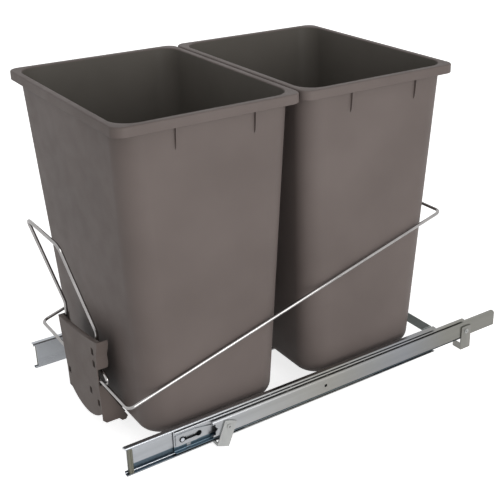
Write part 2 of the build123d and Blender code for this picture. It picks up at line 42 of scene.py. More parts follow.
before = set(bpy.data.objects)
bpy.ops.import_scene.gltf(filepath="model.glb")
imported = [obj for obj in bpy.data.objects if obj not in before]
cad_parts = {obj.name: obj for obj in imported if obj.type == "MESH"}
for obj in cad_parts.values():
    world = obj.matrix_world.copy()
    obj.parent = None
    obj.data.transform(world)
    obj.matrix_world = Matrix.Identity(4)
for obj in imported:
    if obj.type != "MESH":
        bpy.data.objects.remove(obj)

SIDES = {"right": 1, "left": -1}

# Route points of the wires, in metres from the frame's middle, the front bin's rim edge and the floor
HOOP_ROUTE = [
    (-0.028, -0.00445, 0.102),
    (0.154, -0.00445, 0.102),
    (0.165, 0.529, 0.259),
    (-0.165, 0.529, 0.259),
    (-0.154, -0.00445, 0.09685),
    (0.028, -0.00445, 0.09685),
]
HANDLE_LEG = [
    (0.070, 0.0007, 0.094),
    (0.079, 0.0007, 0.107),
    (0.055, 0.0007, 0.116),
    (0.055, 0.0007, 0.172),
    (0.056, -0.038, 0.312),
]
HANDLE_BENDS = [0.005, 0.008, 0.030, 0.010]
BASE_ROUTE = [
    (0.028, 0.0007, 0.107),
    (0.028, 0.0007, 0.02775),
    (0.028, 0.515, 0.02775),
    (0.028, 0.52385, 0.264),
]
BASE_BENDS = [0.018, 0.024]
WIRE_SIDES = 16
BEND_STEPS = 10
END_STEPS = 4
END_ROUND_SHARE = 0.18
WIRE_SMOOTH_ANGLE = 80.0

# A bin's corners, rim and skirt, in metres
CORNER_AT_TOP = 0.031
CORNER_AT_FOOT = 0.038
LEAST_CORNER = 0.006
RIM_THICKNESS = 0.003
RIM_ROLL = 0.0022
MOUTH_ROUND = 0.0016
SKIRT_WALL = 0.002
SKIRT_ROUND = 0.0004
SKIRT_LIP = 0.0005
CORNER_STEPS = 12
FOOT_STEPS = 8
ROLL_STEPS = 6
MOUTH_STEPS = 5
# The ribs under a rim: their places from the bin's middle, and how far they reach from the wall at their top
# and at heights above their tip
RIB_PLACES = (-0.050, 0.063)
RIB_DROP = 0.030
RIB_HALF = 0.001
RIB_ROOT = 0.0008
RIB_TOP_REACH = 0.0045
RIB_REACHES = [(0.012, 0.0034), (0.004, 0.0026), (0.0, 0.0004)]

# The end bumpers' upright ribs: places across one rib as shares of it, and whether they lie in the groove
BUMPER_RIBS = 4
BUMPER_GROOVE = 0.0006
BUMPER_RIB_SHARES = ((0.04, 1), (0.18, 0), (0.82, 0), (0.96, 1))
CROWN_STEPS = 8

# Middles of the bracket's slots, seen from the front, and half the size of the dark plate of painted shade
# that closes each from behind
BRACKET_SLOTS = [(0.0554, 0.1445), (0.0567, 0.1254), (0.0351, 0.0723), (0.0598, 0.0634), (-0.0428, 0.0671)]
SLOT_HALF = (0.0044, 0.0060)
BRACKET_WALL = 0.0015
POCKET_GAP = 0.00002
POCKET_FLOOR = 0.0001
# The dark fin inside the bracket's right side wall, a sheet of painted shade: corners as (y, z) from the
# bin's rim edge and the floor
BRACKET_SHADE_FIN_X = 0.0630
BRACKET_SHADE_FIN_THICKNESS = 0.0002
BRACKET_SHADE_FIN = [
    (-0.0068, 0.0992),
    (-0.0020, 0.0992),
    (0.0005, 0.0964),
    (0.0240, 0.0524),
    (0.0245, 0.0440),
    (0.0283, 0.0380),
    (0.0220, 0.0360),
    (-0.0068, 0.0400),
]

# Spots on the slides with painted shade, and a tab that the painted reflections leave bare, as (y, z): a
# middle from the piece's front end and mid height, and half a size
KEYHOLE_MIDDLE = (0.0230, 0.0)
KEYHOLE_HALF = (0.0178, 0.0046)
KEYHOLE_SHADE = (0.012, 0.014, 0.016)
STOP_TAB_MIDDLE = (0.0220, -0.0125)
STOP_TAB_HALF = (0.0030, 0.0025)
PIN_BRIGHT_RADIUS = 0.0029
WEB_SKIN = 0.0005
# Painted light and shade on the zinc at places along the slide, lighter at the front and darker and browner
# to the rear, in metres from the middle of the frame
ZINC_PAINTED_LIGHT_STOPS = [
    (-0.33, (0.46, 0.48, 0.51)),
    (-0.16, (0.45, 0.46, 0.47)),
    (0.00, (0.36, 0.355, 0.33)),
    (0.15, (0.30, 0.31, 0.33)),
    (0.24, (0.26, 0.257, 0.235)),
    (0.35, (0.26, 0.257, 0.235)),
]
# Heights of the dark reflections low in the two outer channels, from the floor
CARRIAGE_BAND = [
    (0.0120, (0.10, 0.11, 0.12)),
    (0.0127, (0.10, 0.11, 0.12)),
    (0.0129, (0.22, 0.26, 0.29)),
    (0.0135, (0.22, 0.26, 0.29)),
    (0.0138, (1.0, 1.0, 1.0)),
    (0.0144, (1.0, 1.0, 1.0)),
    (0.0152, (0.22, 0.29, 0.34)),
    (0.0238, (0.22, 0.29, 0.34)),
    (0.0250, (1.0, 1.0, 1.0)),
]
MIDDLE_BAND = [
    (0.0168, (0.9, 0.9, 0.9)),
    (0.0174, (0.9, 0.9, 0.9)),
    (0.0180, (0.30, 0.42, 0.50)),
    (0.0245, (0.24, 0.35, 0.42)),
    (0.0256, (1.0, 1.0, 1.0)),
]

# Which way a metal's drawn streaks run: the smaller the number, the longer they are along that axis
EVEN = (1.0, 1.0, 1.0)
ALONG_SLIDE = (1.0, 0.04, 1.0)
ALONG_CROSSBAR = (0.04, 1.0, 1.0)
UP_THE_FOOT = (1.0, 1.0, 0.2)
ZINC_DARK = (0.84, 0.84, 0.84)
ZINC_LIGHT = (1.0, 1.0, 1.0)

# The floor's size and paint, and how much of its own light lifts it to the white of the background
FLOOR_HALF = 6.0
FLOOR_HEIGHT = -0.0002
FLOOR_DARK = (0.90, 0.90, 0.90)
FLOOR_LIGHT = (0.93, 0.93, 0.93)
LIFT_IN_REFLECTIONS = 0.40
LIFT_FOR_CAMERA = 0.38
WHITE = (1.0, 1.0, 1.0, 1.0)

# The camera: its turns in radians, its place from the frame's middle, the front bin's rim edge and rim top,
# its focal length and the point of the picture on its axis, both in pixels of a picture 500 wide and high
CAMERA_YAW = 0.956137
CAMERA_PITCH = 0.412172
CAMERA_ROLL = -0.006608
CAMERA_PLACE = (1.13751, -0.41274, 0.31938)
FOCAL_PIXELS = 938.9
AXIS_PIXEL = (305.0, 231.4)
PICTURE_PIXELS = 500
SENSOR_WIDTH = 36.0


class BinFrameSettings(bpy.types.PropertyGroup):
    rim_skirt: bpy.props.FloatProperty(
        name="Rim skirt",
        description="Height of the skirt round a bin's rim",
        default=0.013,
        min=0.004,
        unit="LENGTH",
    )
    rim_corner: bpy.props.FloatProperty(
        name="Rim corner",
        description="Radius of the rim's outer corners",
        default=0.016,
        min=0.004,
        unit="LENGTH",
    )
    wall: bpy.props.FloatProperty(
        name="Bin wall", description="Wall thickness of a bin", default=0.0022, min=0.001, unit="LENGTH"
    )
    top_width: bpy.props.FloatProperty(
        name="Top width", description="Width of a bin's body under its rim", default=0.340, unit="LENGTH"
    )
    top_depth: bpy.props.FloatProperty(
        name="Top depth", description="Depth of a bin's body under its rim", default=0.250, unit="LENGTH"
    )
    bottom_width: bpy.props.FloatProperty(
        name="Bottom width", description="Width of a bin's body at its foot", default=0.294, unit="LENGTH"
    )
    bottom_depth: bpy.props.FloatProperty(
        name="Bottom depth", description="Depth of a bin's body at its foot", default=0.2114, unit="LENGTH"
    )
    foot_round: bpy.props.FloatProperty(
        name="Foot round", description="Radius of a bin's lower edge", default=0.019, unit="LENGTH"
    )
    wire: bpy.props.FloatProperty(
        name="Wire", description="Diameter of the chromed wires", default=0.005, min=0.002, unit="LENGTH"
    )
    hoop_bend: bpy.props.FloatProperty(
        name="Hoop bend",
        description="Centre-line radius of the hoop's corners",
        default=0.009,
        unit="LENGTH",
    )
    grain: bpy.props.FloatProperty(
        name="Plastic grain",
        description="Height of the moulded grain",
        default=0.00012,
        min=0.0,
        unit="LENGTH",
    )
    bin_dark: bpy.props.FloatVectorProperty(
        name="Bin, dark",
        description="Darker tone of the bins",
        default=(0.126, 0.103, 0.095),
        subtype="COLOR",
    )
    bin_light: bpy.props.FloatVectorProperty(
        name="Bin, light",
        description="Lighter tone of the bins",
        default=(0.147, 0.121, 0.112),
        subtype="COLOR",
    )
    bracket_dark: bpy.props.FloatVectorProperty(
        name="Bracket, dark",
        description="Darker tone of the bracket",
        default=(0.117, 0.095, 0.085),
        subtype="COLOR",
    )
    bracket_light: bpy.props.FloatVectorProperty(
        name="Bracket, light",
        description="Lighter tone of the bracket",
        default=(0.135, 0.110, 0.100),
        subtype="COLOR",
    )
    chrome_dark: bpy.props.FloatVectorProperty(
        name="Chrome, dark",
        description="Darker tone of the wires",
        default=(0.32, 0.31, 0.305),
        subtype="COLOR",
    )
    chrome_light: bpy.props.FloatVectorProperty(
        name="Chrome, light",
        description="Lighter tone of the wires",
        default=(0.43, 0.415, 0.41),
        subtype="COLOR",
    )
    key_power: bpy.props.FloatProperty(
        name="Key light", description="Power of the main lamp", default=24.0, min=0.0, subtype="POWER"
    )
    fill_power: bpy.props.FloatProperty(
        name="Fill light", description="Power of the side lamp", default=0.8, min=0.0, subtype="POWER"
    )
    room: bpy.props.FloatProperty(
        name="Room light",
        description="Strength of the even light of the room",
        default=0.52,
        min=0.0,
        subtype="FACTOR",
    )


# Node helpers


def new_material(name):
    """An empty node material with its shader joined to its surface."""
    material = bpy.data.materials.new(name)
    material.use_nodes = True
    tree = material.node_tree
    tree.nodes.clear()
    out = tree.nodes.new("ShaderNodeOutputMaterial")
    shader = tree.nodes.new("ShaderNodeBsdfPrincipled")
    tree.links.new(shader.outputs["BSDF"], out.inputs["Surface"])
    return material, tree, shader


def object_noise(tree, scale, detail, stretch=EVEN):
    """Noise in the object's own space, stretched along one axis where the finish runs that way."""
    coordinates = tree.nodes.new("ShaderNodeTexCoord")
    mapping = tree.nodes.new("ShaderNodeMapping")
    mapping.inputs["Scale"].default_value = stretch
    noise = tree.nodes.new("ShaderNodeTexNoise")
    noise.inputs["Scale"].default_value = scale
    noise.inputs["Detail"].default_value = detail
    tree.links.new(coordinates.outputs["Object"], mapping.inputs["Vector"])
    tree.links.new(mapping.outputs["Vector"], noise.inputs["Vector"])
    return noise.outputs["Fac"]


def ramp(tree, source, low, high, start=0.35, end=0.65):
    """A colour between low and high, led by a grey source."""
    node = tree.nodes.new("ShaderNodeValToRGB")
    node.color_ramp.elements[0].position = start
    node.color_ramp.elements[0].color = (*low, 1.0)
    node.color_ramp.elements[1].position = end
    node.color_ramp.elements[1].color = (*high, 1.0)
    tree.links.new(source, node.inputs["Fac"])
    return node.outputs["Color"]


def spread(tree, source, low, high, start=0.3, end=0.7):
    """A number between low and high, led by a grey source."""
    node = tree.nodes.new("ShaderNodeMapRange")
    node.inputs["From Min"].default_value = start
    node.inputs["From Max"].default_value = end
    node.inputs["To Min"].default_value = low
    node.inputs["To Max"].default_value = high
    tree.links.new(source, node.inputs["Value"])
    return node.outputs["Result"]


def bump(tree, shader, source, distance, strength):
    """Raises the surface where a grey source is light."""
    node = tree.nodes.new("ShaderNodeBump")
    node.inputs["Distance"].default_value = distance
    node.inputs["Strength"].default_value = strength
    tree.links.new(source, node.inputs["Height"])
    tree.links.new(node.outputs["Normal"], shader.inputs["Normal"])


def place_output(tree, axis):
    """Where a point of the piece lies along one axis, in metres from the frame's own zero."""
    coordinates = tree.nodes.new("ShaderNodeTexCoord")
    apart = tree.nodes.new("ShaderNodeSeparateXYZ")
    tree.links.new(coordinates.outputs["Object"], apart.inputs["Vector"])
    return apart.outputs[axis]


def arithmetic(tree, operation, first, *others):
    """One step of arithmetic on outputs or fixed numbers."""
    node = tree.nodes.new("ShaderNodeMath")
    node.operation = operation
    for socket, value in zip(node.inputs, (first, *others)):
        if isinstance(value, float):
            socket.default_value = value
        else:
            tree.links.new(value, socket)
    return node.outputs["Value"]


def stepped(tree, axis, stops):
    """A colour that changes along one axis, at the given places in metres."""
    reach = stops[-1][0] - stops[0][0]
    share = tree.nodes.new("ShaderNodeMapRange")
    share.inputs["From Min"].default_value = stops[0][0]
    share.inputs["From Max"].default_value = stops[-1][0]
    node = tree.nodes.new("ShaderNodeValToRGB")
    tree.links.new(place_output(tree, axis), share.inputs["Value"])
    tree.links.new(share.outputs["Result"], node.inputs["Fac"])
    elements = node.color_ramp.elements
    while len(elements) < len(stops):
        elements.new(1.0)
    for element, (spot, colour) in zip(elements, stops):
        element.position = (spot - stops[0][0]) / reach
        element.color = (*colour, 1.0)
    return node.outputs["Color"]


def multiplied(tree, first, second, where=1.0):
    """Two colours multiplied, in full or where an output is one."""
    node = tree.nodes.new("ShaderNodeMix")
    node.data_type = "RGBA"
    node.blend_type = "MULTIPLY"
    if isinstance(where, float):
        node.inputs["Factor"].default_value = where
    else:
        tree.links.new(where, node.inputs["Factor"])
    colours = [socket for socket in node.inputs if socket.type == "RGBA"]
    for value, socket in zip((first, second), colours):
        if isinstance(value, tuple):
            socket.default_value = (*value, 1.0)
        else:
            tree.links.new(value, socket)
    return next(socket for socket in node.outputs if socket.type == "RGBA")


# Places on the slides with painted shade and painted reflections, and a tab that the reflections leave bare


def in_channel(tree):
    """One on the hollow side of the channels' webs, and nought on the flat side that faces the bins."""
    web_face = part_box("carriage_rail_right")[0].x + WEB_SKIN
    out_from_middle = arithmetic(tree, "ABSOLUTE", place_output(tree, "X"))
    return arithmetic(tree, "GREATER_THAN", out_from_middle, web_face)


def in_patch(tree, node, middle, half):
    """One in an oblong patch of a side face, set from the front end and mid height of a CAD node."""
    low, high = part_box(node)
    along = arithmetic(tree, "COMPARE", place_output(tree, "Y"), low.y + middle[0], half[0])
    upright = arithmetic(tree, "COMPARE", place_output(tree, "Z"), (low.z + high.z) / 2 + middle[1], half[1])
    return arithmetic(tree, "MULTIPLY", along, upright)


def behind_keyhole(tree):
    """One on the middle rail's web behind the keyhole slot of its latch lever, where shade is painted."""
    return in_patch(tree, "latch_lever_right", KEYHOLE_MIDDLE, KEYHOLE_HALF)


def on_stop_tab(tree):
    """One on the small raised tab low on the front of a middle rail."""
    return in_patch(tree, "middle_rail_right", STOP_TAB_MIDDLE, STOP_TAB_HALF)


def round_pin_head(tree):
    """One on the outer ring of a latch pin's head, where shade is painted, and nought on its bright middle.
    """
    low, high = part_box("latch_pin_right")
    along = arithmetic(tree, "SUBTRACT", place_output(tree, "Y"), (low.y + high.y) / 2)
    upright = arithmetic(tree, "SUBTRACT", place_output(tree, "Z"), (low.z + high.z) / 2)
    squares = []
    for part in (along, upright):
        squares.append(arithmetic(tree, "POWER", arithmetic(tree, "ABSOLUTE", part), 2.0))
    return arithmetic(tree, "GREATER_THAN", arithmetic(tree, "ADD", *squares), PIN_BRIGHT_RADIUS**2)


# Finishes


def plastic(name, low, high, roughness, grain):
    """Moulded plastic: fine grain, and broad, faint changes of colour and gloss."""
    material, tree, shader = new_material(name)
    broad = object_noise(tree, scale=7.0, detail=3.0)
    gloss = object_noise(tree, scale=40.0, detail=4.0)
    fine = object_noise(tree, scale=1400.0, detail=2.0)
    tree.links.new(ramp(tree, broad, low, high), shader.inputs["Base Color"])
    tree.links.new(spread(tree, gloss, *roughness), shader.inputs["Roughness"])
    shader.inputs["Specular IOR Level"].default_value = 0.18
    bump(tree, shader, fine, distance=grain, strength=0.5)
    return material


def plated(name, low, high, roughness, stretch=EVEN, scale=60.0, metal=1.0, stops=None, masks=None):
    """Plated steel, drawn along the stretched axis.

    Stops give painted light and shade along the slide. The masks are a place of painted shade, a band of
    reflections up the channel with its stops, and a place that the band leaves bare.
    """
    masks = masks or {}
    material, tree, shader = new_material(name)
    shader.inputs["Metallic"].default_value = metal
    streaks = object_noise(tree, scale, 5.0, stretch)
    gloss = object_noise(tree, scale / 3, 4.0, stretch)
    tone = ramp(tree, streaks, low, high)
    # painted light and shade along the slide
    if stops:
        tone = multiplied(tree, tone, stepped(tree, "Y", stops))
    # painted shade on the web behind each keyhole and on the ring round each pin's head
    if "dark" in masks:
        tone = multiplied(tree, tone, KEYHOLE_SHADE, masks["dark"](tree))
    if "band" in masks:
        banded = in_channel(tree)
        if "bare" in masks:
            banded = arithmetic(tree, "SUBTRACT", banded, masks["bare"](tree))
        tone = multiplied(tree, tone, stepped(tree, "Z", masks["band"]), banded)
    tree.links.new(tone, shader.inputs["Base Color"])
    tree.links.new(spread(tree, gloss, *roughness), shader.inputs["Roughness"])
    bump(tree, shader, streaks, distance=0.00002, strength=0.4)
    return material


def drawn_zinc(name, masks=None):
    """Zinc drawn along the slide, with painted light and shade that change from front to rear."""
    return plated(name, ZINC_DARK, ZINC_LIGHT, (0.20, 0.34), ALONG_SLIDE, stops=ZINC_PAINTED_LIGHT_STOPS, masks=masks)


def bin_moulding(settings):
    """The bins' brown plastic, on the outside and the rim."""
    low, high = settings.bin_dark, settings.bin_light
    return plastic("bin_moulding", low, high, roughness=(0.46, 0.56), grain=settings.grain)


def bin_inside_shade(settings):
    """The bins' plastic on the inside, a darker copy with painted shade, where it also looks greener."""
    low, high = (0.100, 0.091, 0.079), (0.116, 0.105, 0.092)
    return plastic("bin_inside_shade", low, high, roughness=(0.50, 0.60), grain=settings.grain)


def bracket_moulding(settings):
    """The front bracket's brown plastic."""
    low, high = settings.bracket_dark, settings.bracket_light
    return plastic("bracket_moulding", low, high, roughness=(0.48, 0.60), grain=settings.grain)


def bracket_shade(settings):
    """The bracket's plastic painted as the shade deep inside its slots and its side wall."""
    low, high = (0.030, 0.024, 0.022), (0.038, 0.031, 0.028)
    return plastic("bracket_shade", low, high, roughness=(0.6, 0.7), grain=settings.grain)


def bumper_moulding(settings):
    """The end bumpers' olive grey plastic."""
    low, high = (0.125, 0.125, 0.098), (0.175, 0.172, 0.138)
    return plastic("bumper_moulding", low, high, roughness=(0.35, 0.5), grain=settings.grain)


def chrome_plate(settings):
    """The bright wires."""
    low, high = settings.chrome_dark, settings.chrome_light
    return plated("chrome_plate", low, high, roughness=(0.12, 0.20), scale=30.0)


def zinc_plate(settings):
    """The cabinet rails and the latch levers."""
    return drawn_zinc("zinc_plate")


def carriage_zinc(settings):
    """The carriage rails, with the dark reflections low in their channel."""
    return drawn_zinc("carriage_zinc", {"band": CARRIAGE_BAND})


def middle_zinc(settings):
    """The middle rails, with painted shade behind the keyholes, dark reflections low in their channel, and
    bare on the stop tab.
    """
    return drawn_zinc("middle_zinc", {"dark": behind_keyhole, "band": MIDDLE_BAND, "bare": on_stop_tab})


def pin_plate(settings):
    """The latch pins, with painted shade round their bright middle."""
    low, high = (0.50, 0.53, 0.57), (0.66, 0.69, 0.74)
    return plated("pin_plate", low, high, roughness=(0.2, 0.3), masks={"dark": round_pin_head})


def dull_plate(settings):
    """The crossbars."""
    low, high = (0.24, 0.27, 0.26), (0.31, 0.34, 0.33)
    return plated("dull_plate", low, high, roughness=(0.38, 0.5), stretch=ALONG_CROSSBAR, metal=0.4)


def satin_plate(settings):
    """The front feet and the foot rivets."""
    low, high = (0.38, 0.385, 0.38), (0.47, 0.475, 0.465)
    return plated("satin_plate", low, high, roughness=(0.34, 0.46), stretch=UP_THE_FOOT)


def rear_foot_plate(settings):
    """The rear feet, which are darker."""
    low, high = (0.235, 0.232, 0.215), (0.29, 0.285, 0.265)
    return plated("rear_foot_plate", low, high, roughness=(0.34, 0.46), stretch=UP_THE_FOOT)


def rivet_plate(settings):
    """The crossbar rivets."""
    low, high = (0.58, 0.59, 0.62), (0.72, 0.72, 0.75)
    return plated("rivet_plate", low, high, roughness=(0.2, 0.3))


def cage_strip(settings):
    """The ball cages."""
    low, high = (0.38, 0.38, 0.37), (0.50, 0.50, 0.48)
    return plated("cage_strip", low, high, roughness=(0.3, 0.4), stretch=ALONG_SLIDE)


def ball_steel(settings):
    """The polished balls."""
    low, high = (0.60, 0.60, 0.61), (0.66, 0.66, 0.67)
    return plated("ball_steel", low, high, roughness=(0.06, 0.1))


def material(finish, settings):
    """A finish's material, made once."""
    return bpy.data.materials.get(finish.__name__) or finish(settings)


# Mesh helpers


def finish_piece(mesh, name, body, finish, slot, replaced, settings, smooth_angle=35.0, shaded_inner_finish=None):
    """Turns a bmesh into a piece that rides on its body and stands for its CAD nodes."""
    data = bpy.data.meshes.new(name)
    bmesh.ops.recalc_face_normals(mesh, faces=mesh.faces)
    mesh.to_mesh(data)
    mesh.free()
    obj = bpy.data.objects.new(name, data)
    bpy.context.scene.collection.objects.link(obj)
    data.materials.append(material(finish, settings))
    # the inner faces get a second, darker copy of the plastic: painted shade
    if shaded_inner_finish:
        data.materials.append(material(shaded_inner_finish, settings))
    data.shade_smooth()
    data.set_sharp_from_angle(angle=math.radians(smooth_angle))
    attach(obj, body)
    if replaced:
        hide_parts(*replaced)
    return obj


def quarter_turn(steps):
    """Angles from nought to a right angle, in equal steps."""
    return [math.radians(90 * step / steps) for step in range(steps + 1)]


def rounded_ring(half_x, half_y, radius, z, centre):
    """Points round a rounded rectangle, anticlockwise from the +X side, at one height."""
    points = []
    for corner, (sx, sy) in enumerate([(1, 1), (-1, 1), (-1, -1), (1, -1)]):
        for step in range(CORNER_STEPS + 1):
            angle = math.radians(90 * corner + 90 * step / CORNER_STEPS)
            x = centre.x + sx * (half_x - radius) + radius * math.cos(angle)
            y = centre.y + sy * (half_y - radius) + radius * math.sin(angle)
            points.append(Vector((x, y, z)))
    return points


def bridge(mesh, rings, close_first=False, close_last=False):
    """Skins a stack of rings of equal count."""
    rows = [[mesh.verts.new(point) for point in ring] for ring in rings]
    for lower, upper in zip(rows, rows[1:]):
        for i in range(len(lower)):
            j = (i + 1) % len(lower)
            mesh.faces.new((lower[i], lower[j], upper[j], upper[i]))
    if close_first:
        mesh.faces.new(rows[0])
    if close_last:
        mesh.faces.new(rows[-1])


def rounded_path(points, bends):
    """Points along a wire: straight runs joined by arcs of the given radii."""
    points = [Vector(point) for point in points]
    path = [points[0]]
    for before, corner, after, radius in zip(points, points[1:], points[2:], bends):
        back = (before - corner).normalized()
        ahead = (after - corner).normalized()
        angle = back.angle(ahead)
        run = radius / math.tan(angle / 2)
        start, end = corner + back * run, corner + ahead * run
        middle = corner + (back + ahead).normalized() * (radius / math.sin(angle / 2))
        axis, total = (start - middle).rotation_difference(end - middle).to_axis_angle()
        for step in range(BEND_STEPS + 1):
            path.append(middle + Matrix.Rotation(total * step / BEND_STEPS, 3, axis) @ (start - middle))
    return path + [points[-1]]


def rounded_end(ring, point, outward, radius):
    """Rings that close one end of a wire, with its edge slightly rounded."""
    edge = radius * END_ROUND_SHARE
    rings = []
    for lean in quarter_turn(END_STEPS):
        share = 1 - edge * (1 - math.cos(lean)) / radius
        push = outward * edge * (math.sin(lean) - 1)
        rings.append([point + (spot - point) * share + push for spot in ring])
    return rings


def wire_mesh(path, radius):
    """A round wire along a path, its ends sheared and slightly rounded."""
    normal = (path[1] - path[0]).orthogonal().normalized()
    angles = [2 * math.pi * side / WIRE_SIDES for side in range(WIRE_SIDES)]
    rings = []
    for i, point in enumerate(path):
        direction = (path[min(i + 1, len(path) - 1)] - path[max(i - 1, 0)]).normalized()
        normal = (normal - direction * normal.dot(direction)).normalized()
        across = direction.cross(normal)
        rings.append([point + (normal * math.cos(a) + across * math.sin(a)) * radius for a in angles])
    first = rounded_end(rings[0], path[0], (path[0] - path[1]).normalized(), radius)
    last = rounded_end(rings[-1], path[-1], (path[-1] - path[-2]).normalized(), radius)
    mesh = bmesh.new()
    bridge(mesh, first[::-1] + rings[1:-1] + last, close_first=True, close_last=True)
    return mesh


def place(points, side=1):
    """Route points set into the model's frame: the front bin's rim gives where they start."""
    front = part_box("front_bin")[0].y
    return [Vector((side * x, front + y, z)) for x, y, z in points]


def add_plate(mesh, low, high):
    """A thin plate between two corners, added to a mesh."""
    made = bmesh.ops.create_cube(mesh, size=1.0)
    for vertex in made["verts"]:
        for axis in range(3):
            vertex.co[axis] = (low[axis] + high[axis]) / 2 + vertex.co[axis] * (high[axis] - low[axis])


def carry_over(node, finish, settings, edge=0.0):
    """Keeps a CAD node as it is and gives it its finish, with softened edges where edge is set."""
    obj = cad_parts[node]
    obj.data.materials.clear()
    obj.data.materials.append(material(finish, settings))
    weld = obj.modifiers.new("weld", "WELD")
    weld.merge_threshold = 0.000002
    if edge > 0:
        bevel = obj.modifiers.new("edge", "BEVEL")
        bevel.width = edge
        bevel.segments = 2
        bevel.limit_method = "ANGLE"
        bevel.angle_limit = math.radians(40)
        bevel.use_clamp_overlap = True


# Pieces


def add_rib(mesh, side, centre, rib_y, reaches, wall_at):
    """A short upright rib on a bin's long side: reaches say how far it stands out at each height."""
    outline = [(wall_at(z)[0] + reach, z) for z, reach in reaches]
    outline += [(wall_at(z)[0] - RIB_ROOT, z) for z, _ in reversed(reaches)]
    faces = []
    for y in (rib_y - RIB_HALF, rib_y + RIB_HALF):
        faces.append([Vector((centre.x + side * x, y, z)) for x, z in outline])
    bridge(mesh, faces, close_first=True, close_last=True)


def build_bin(node, settings):
    """One tall bin with a rolled rim and skirt, a foot round, and ribs under the rim's long sides."""
    low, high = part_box(node)
    centre = (low + high) / 2
    height = high.z - low.z
    outer_x, outer_y = (high.x - low.x) / 2, (high.y - low.y) / 2
    foot = settings.foot_round
    skirt_bottom = high.z - settings.rim_skirt
    under = high.z - RIM_THICKNESS
    floor = low.z + settings.wall

    def wall_at(z, inset=0.0):
        share = (z - low.z) / height
        half_x = (settings.bottom_width + (settings.top_width - settings.bottom_width) * share) / 2 - inset
        half_y = (settings.bottom_depth + (settings.top_depth - settings.bottom_depth) * share) / 2 - inset
        return half_x, half_y, CORNER_AT_FOOT + (CORNER_AT_TOP - CORNER_AT_FOOT) * share - inset

    def wall_ring(z, inset=0.0, pull=0.0):
        half_x, half_y, corner = wall_at(z, inset)
        return rounded_ring(half_x - pull, half_y - pull, max(corner - pull, LEAST_CORNER), z, centre)

    def rim_ring(z, pull):
        return rounded_ring(outer_x - pull, outer_y - pull, settings.rim_corner - pull, z, centre)

    def mouth_ring(z, spread_out):
        half_x, half_y, corner = wall_at(high.z, settings.wall)
        return rounded_ring(half_x + spread_out, half_y + spread_out, corner + spread_out, z, centre)

    # up the outside: the foot's round, the wall, the skirt and the rolled rim
    rings = []
    for lean in quarter_turn(FOOT_STEPS):
        rings.append(wall_ring(low.z + foot * (1 - math.cos(lean)), 0.0, foot * (1 - math.sin(lean))))
    for share in (0.25, 0.5, 0.75, 1.0):
        rings.append(wall_ring(low.z + foot + (under - low.z - foot) * share))
    rings.append(rim_ring(under, SKIRT_WALL))
    rings.append(rim_ring(skirt_bottom + SKIRT_ROUND, SKIRT_WALL))
    rings.append(rim_ring(skirt_bottom, SKIRT_WALL - SKIRT_ROUND))
    rings.append(rim_ring(skirt_bottom, SKIRT_ROUND))
    rings.append(rim_ring(skirt_bottom + SKIRT_LIP, 0.0))
    for lean in quarter_turn(ROLL_STEPS):
        rings.append(rim_ring(high.z - RIM_ROLL + RIM_ROLL * math.sin(lean), RIM_ROLL * (1 - math.cos(lean))))
    # down the inside: the mouth's round, the wall and the floor's round
    for lean in quarter_turn(MOUTH_STEPS):
        z = high.z - MOUTH_ROUND + MOUTH_ROUND * math.cos(lean)
        rings.append(mouth_ring(z, MOUTH_ROUND * (1 - math.sin(lean))))
    first_inside = len(rings) - 1
    for share in (0.75, 0.5, 0.25, 0.0):
        rings.append(wall_ring(floor + foot + (high.z - MOUTH_ROUND - floor - foot) * share, settings.wall))
    for lean in quarter_turn(FOOT_STEPS)[1:]:
        pull = foot * (1 - math.cos(lean))
        rings.append(wall_ring(floor + foot * (1 - math.sin(lean)), settings.wall, pull))

    mesh = bmesh.new()
    bridge(mesh, rings, close_first=True, close_last=True)
    # every face from the mouth down has the inner finish, darker with painted shade, but for the underside,
    # which comes last but one
    mesh.faces.ensure_lookup_table()
    for index in range(first_inside * len(rings[0]), len(mesh.faces)):
        mesh.faces[index].material_index = 1
    mesh.faces[len(mesh.faces) - 2].material_index = 0

    tip = skirt_bottom - RIB_DROP
    reaches = [(under, RIB_TOP_REACH)] + [(tip + rise, reach) for rise, reach in RIB_REACHES]
    for side in SIDES.values():
        for offset in RIB_PLACES:
            add_rib(mesh, side, centre, centre.y + offset, reaches, wall_at)
    look = (bin_moulding, "bin_plastic")
    return finish_piece(mesh, node + "_shell", node, *look, [node], settings, shaded_inner_finish=bin_inside_shade)


def build_bumper(node, settings):
    """An end bumper with upright ribs, its rear edge rounded over at the top."""
    low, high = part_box(node)
    side = 1 if low.x > 0 else -1
    web_x, lip_x = (low.x, high.x) if side > 0 else (high.x, low.x)
    crown = high.y - low.y
    columns = []
    for rib in range(BUMPER_RIBS):
        for share, sunk in BUMPER_RIB_SHARES:
            columns.append(((rib + share) / BUMPER_RIBS, BUMPER_GROOVE * sunk))
    rows = []
    for lean in quarter_turn(CROWN_STEPS):
        rows.append((high.z - crown * (1 - math.cos(lean)), crown * math.sin(lean)))
    rows.append((low.z, crown))
    grid = []
    for z, depth in rows:
        line = [Vector((web_x, low.y, z))]
        for share, groove in columns:
            # the ribs run round the corner: first across the face at the mouth, then along the outer side
            along = share * 2
            if along <= 1:
                line.append(Vector((web_x + (lip_x - web_x) * along, low.y + groove, z)))
            else:
                line.append(Vector((lip_x - side * groove, low.y + depth * (along - 1), z)))
        line.append(Vector((lip_x, low.y + depth, z)))
        line.append(Vector((web_x, low.y + depth, z)))
        grid.append(line)
    mesh = bmesh.new()
    bridge(mesh, grid, close_first=True, close_last=True)
    look = (bumper_moulding, "bumper_plastic")
    return finish_piece(mesh, node + "_ribbed", "carriage", *look, [node], settings)


def build_wire(name, node, path, settings):
    """One chromed wire along a path, in place of its CAD node."""
    mesh = wire_mesh(path, settings.wire / 2)
    look = (chrome_plate, "chrome_wire")
    return finish_piece(mesh, name, "carriage", *look, [node], settings, WIRE_SMOOTH_ANGLE)


